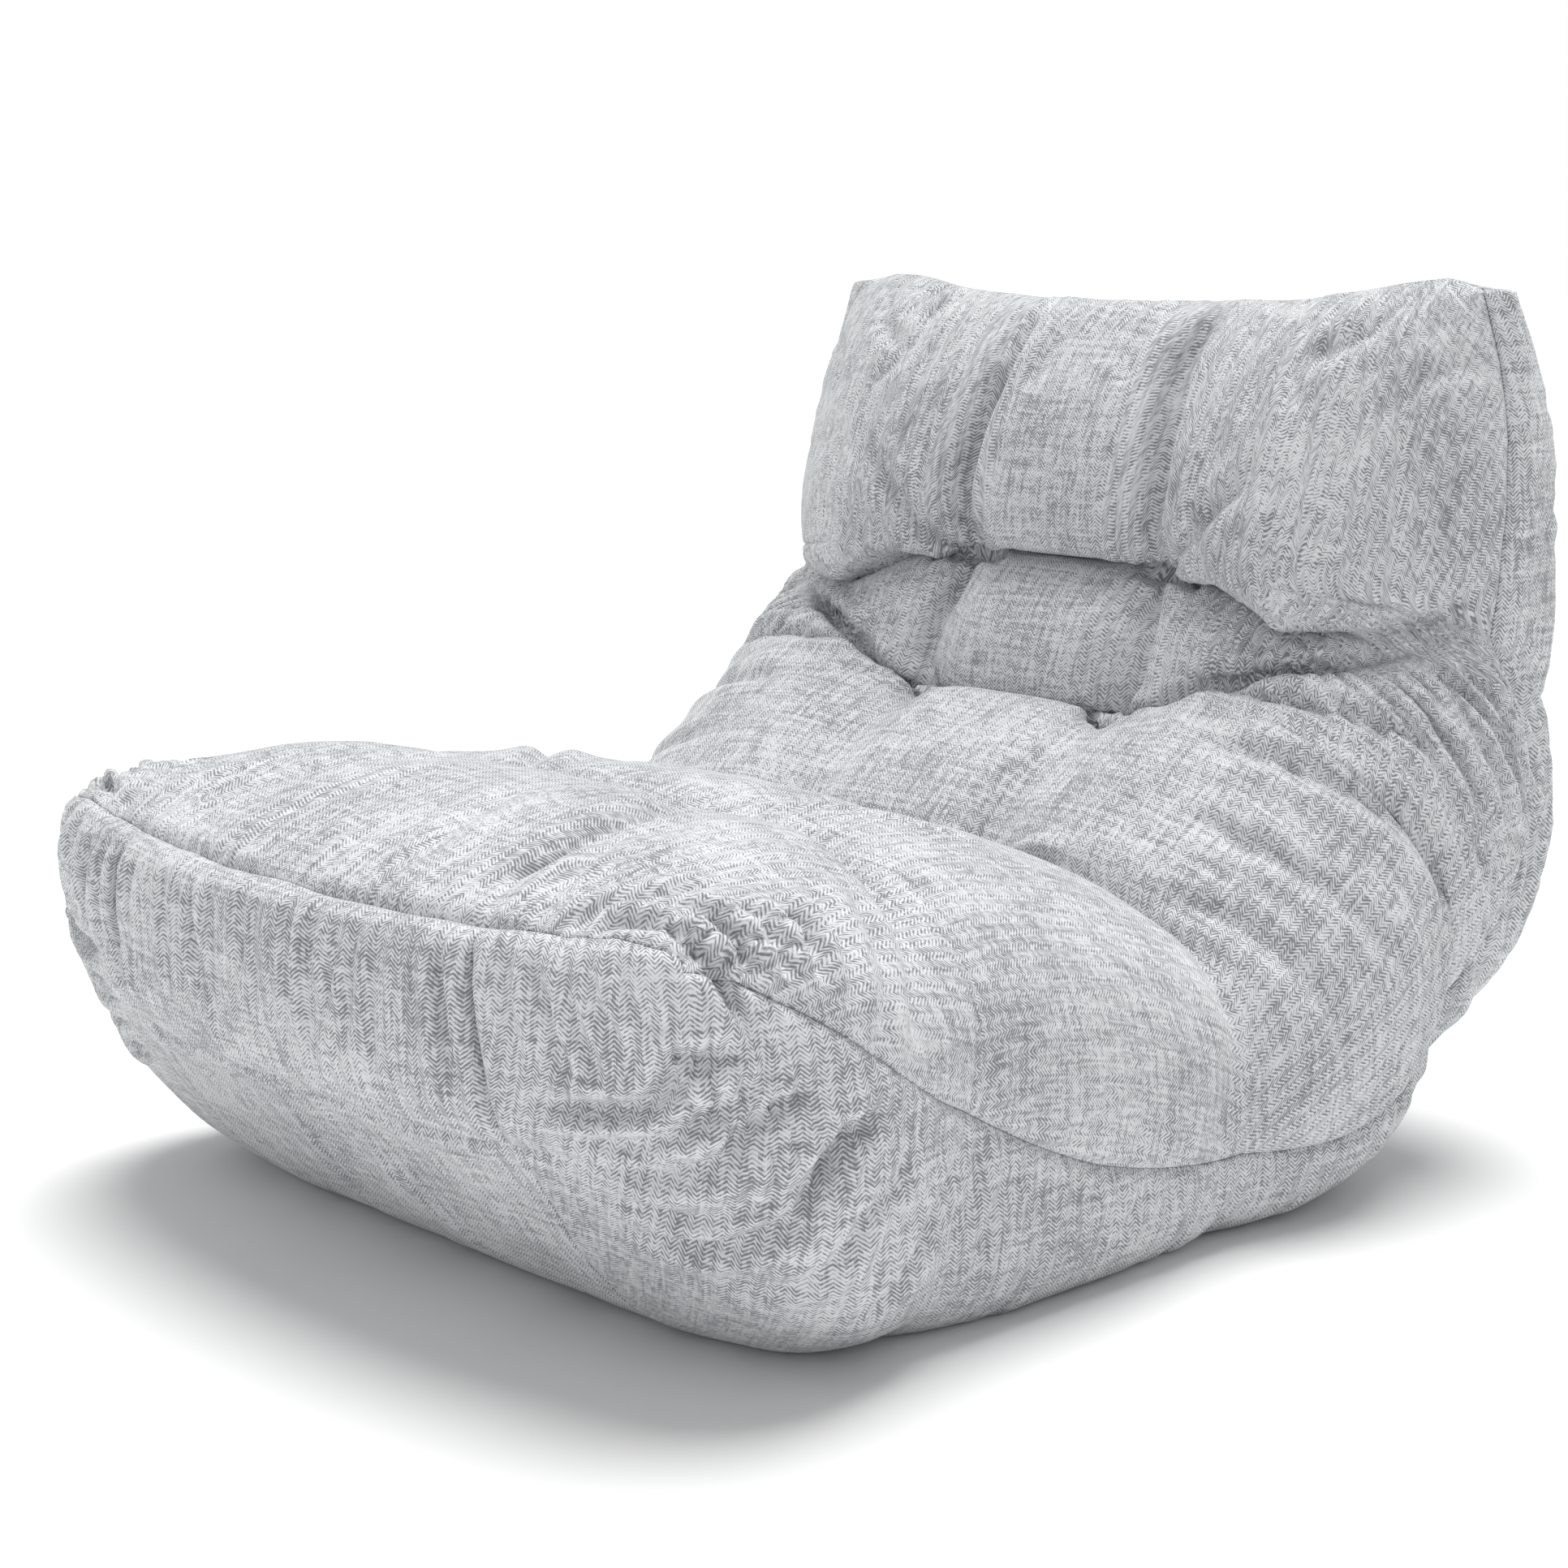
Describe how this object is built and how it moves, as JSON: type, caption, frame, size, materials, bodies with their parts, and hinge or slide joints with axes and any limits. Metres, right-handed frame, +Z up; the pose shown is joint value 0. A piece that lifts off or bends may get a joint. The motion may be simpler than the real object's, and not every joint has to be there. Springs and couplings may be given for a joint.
{
  "type": "bean bag chair",
  "caption": "Tufted lounger bean bag chair with a long padded seat, a raised back, a wrapped-round base and a low zip across the back.",
  "frame": {"origin": "centre of the bounding box, on the floor", "axes": "+Z up, the chair faces -Y, the sitter's left is +X"},
  "size_m": [1.0514, 1.2666, 0.8571],
  "materials": {
    "cover_fabric": "light cool grey melange herringbone weave, matte with a soft sheen",
    "fibre": "polyester fibre wadding, white",
    "scrim": "thin spun-bonded scrim",
    "webbing": "narrow woven tape",
    "liner": "thin tightly woven liner cloth",
    "beads": "expanded polystyrene beads, white",
    "zip_tape": "grey woven zip tape",
    "zip_teeth": "grey nylon coil",
    "zip_metal": "grey painted zinc"
  },
  "bodies": {
    "chair": {"cover_top_panel": "cover_fabric", "cover_front_band": "cover_fabric", "cover_side_left": "cover_fabric", "cover_side_right": "cover_fabric", "cover_base_left": "cover_fabric", "cover_base_right": "cover_fabric", "cover_back_panel": "cover_fabric", "quilt_pad_row1_right": "fibre", "quilt_pad_row1_centre": "fibre", "quilt_pad_row1_left": "fibre", "quilt_pad_row2_right": "fibre", "quilt_pad_row2_centre": "fibre", "quilt_pad_row2_left": "fibre", "quilt_pad_row3_right": "fibre", "quilt_pad_row3_centre": "fibre", "quilt_pad_row3_left": "fibre", "quilt_pad_row4_right": "fibre", "quilt_pad_row4_centre": "fibre", "quilt_pad_row4_left": "fibre", "quilt_pad_row5_right": "fibre", "quilt_pad_row5_centre": "fibre", "quilt_pad_row5_left": "fibre", "quilt_backing": "scrim", "tuft_strap_row1_left": "webbing", "tuft_strap_row1_right": "webbing", "tuft_strap_row2_left": "webbing", "tuft_strap_row2_right": "webbing", "tuft_strap_row3_left": "webbing", "tuft_strap_row3_right": "webbing", "tuft_strap_row4_left": "webbing", "tuft_strap_row4_right": "webbing", "liner_right": "liner", "liner_centre": "liner", "liner_left": "liner", "bead_fill_right": "beads", "bead_fill_centre": "beads", "bead_fill_left": "beads", "zip_tape_back": "zip_tape", "zip_tape_base": "zip_tape", "zip_teeth_back": "zip_teeth", "zip_teeth_base": "zip_teeth", "zip_stop_left": "zip_metal", "zip_stop_right": "zip_metal"},
    "slider": {"zip_slider": "zip_metal"}
  },
  "joints": [
    {"name": "zip_slide", "type": "slide", "parent": "chair", "child": "slider", "axis": [-1, 0, 0], "range_m": [0, 0.476]}
  ]
}
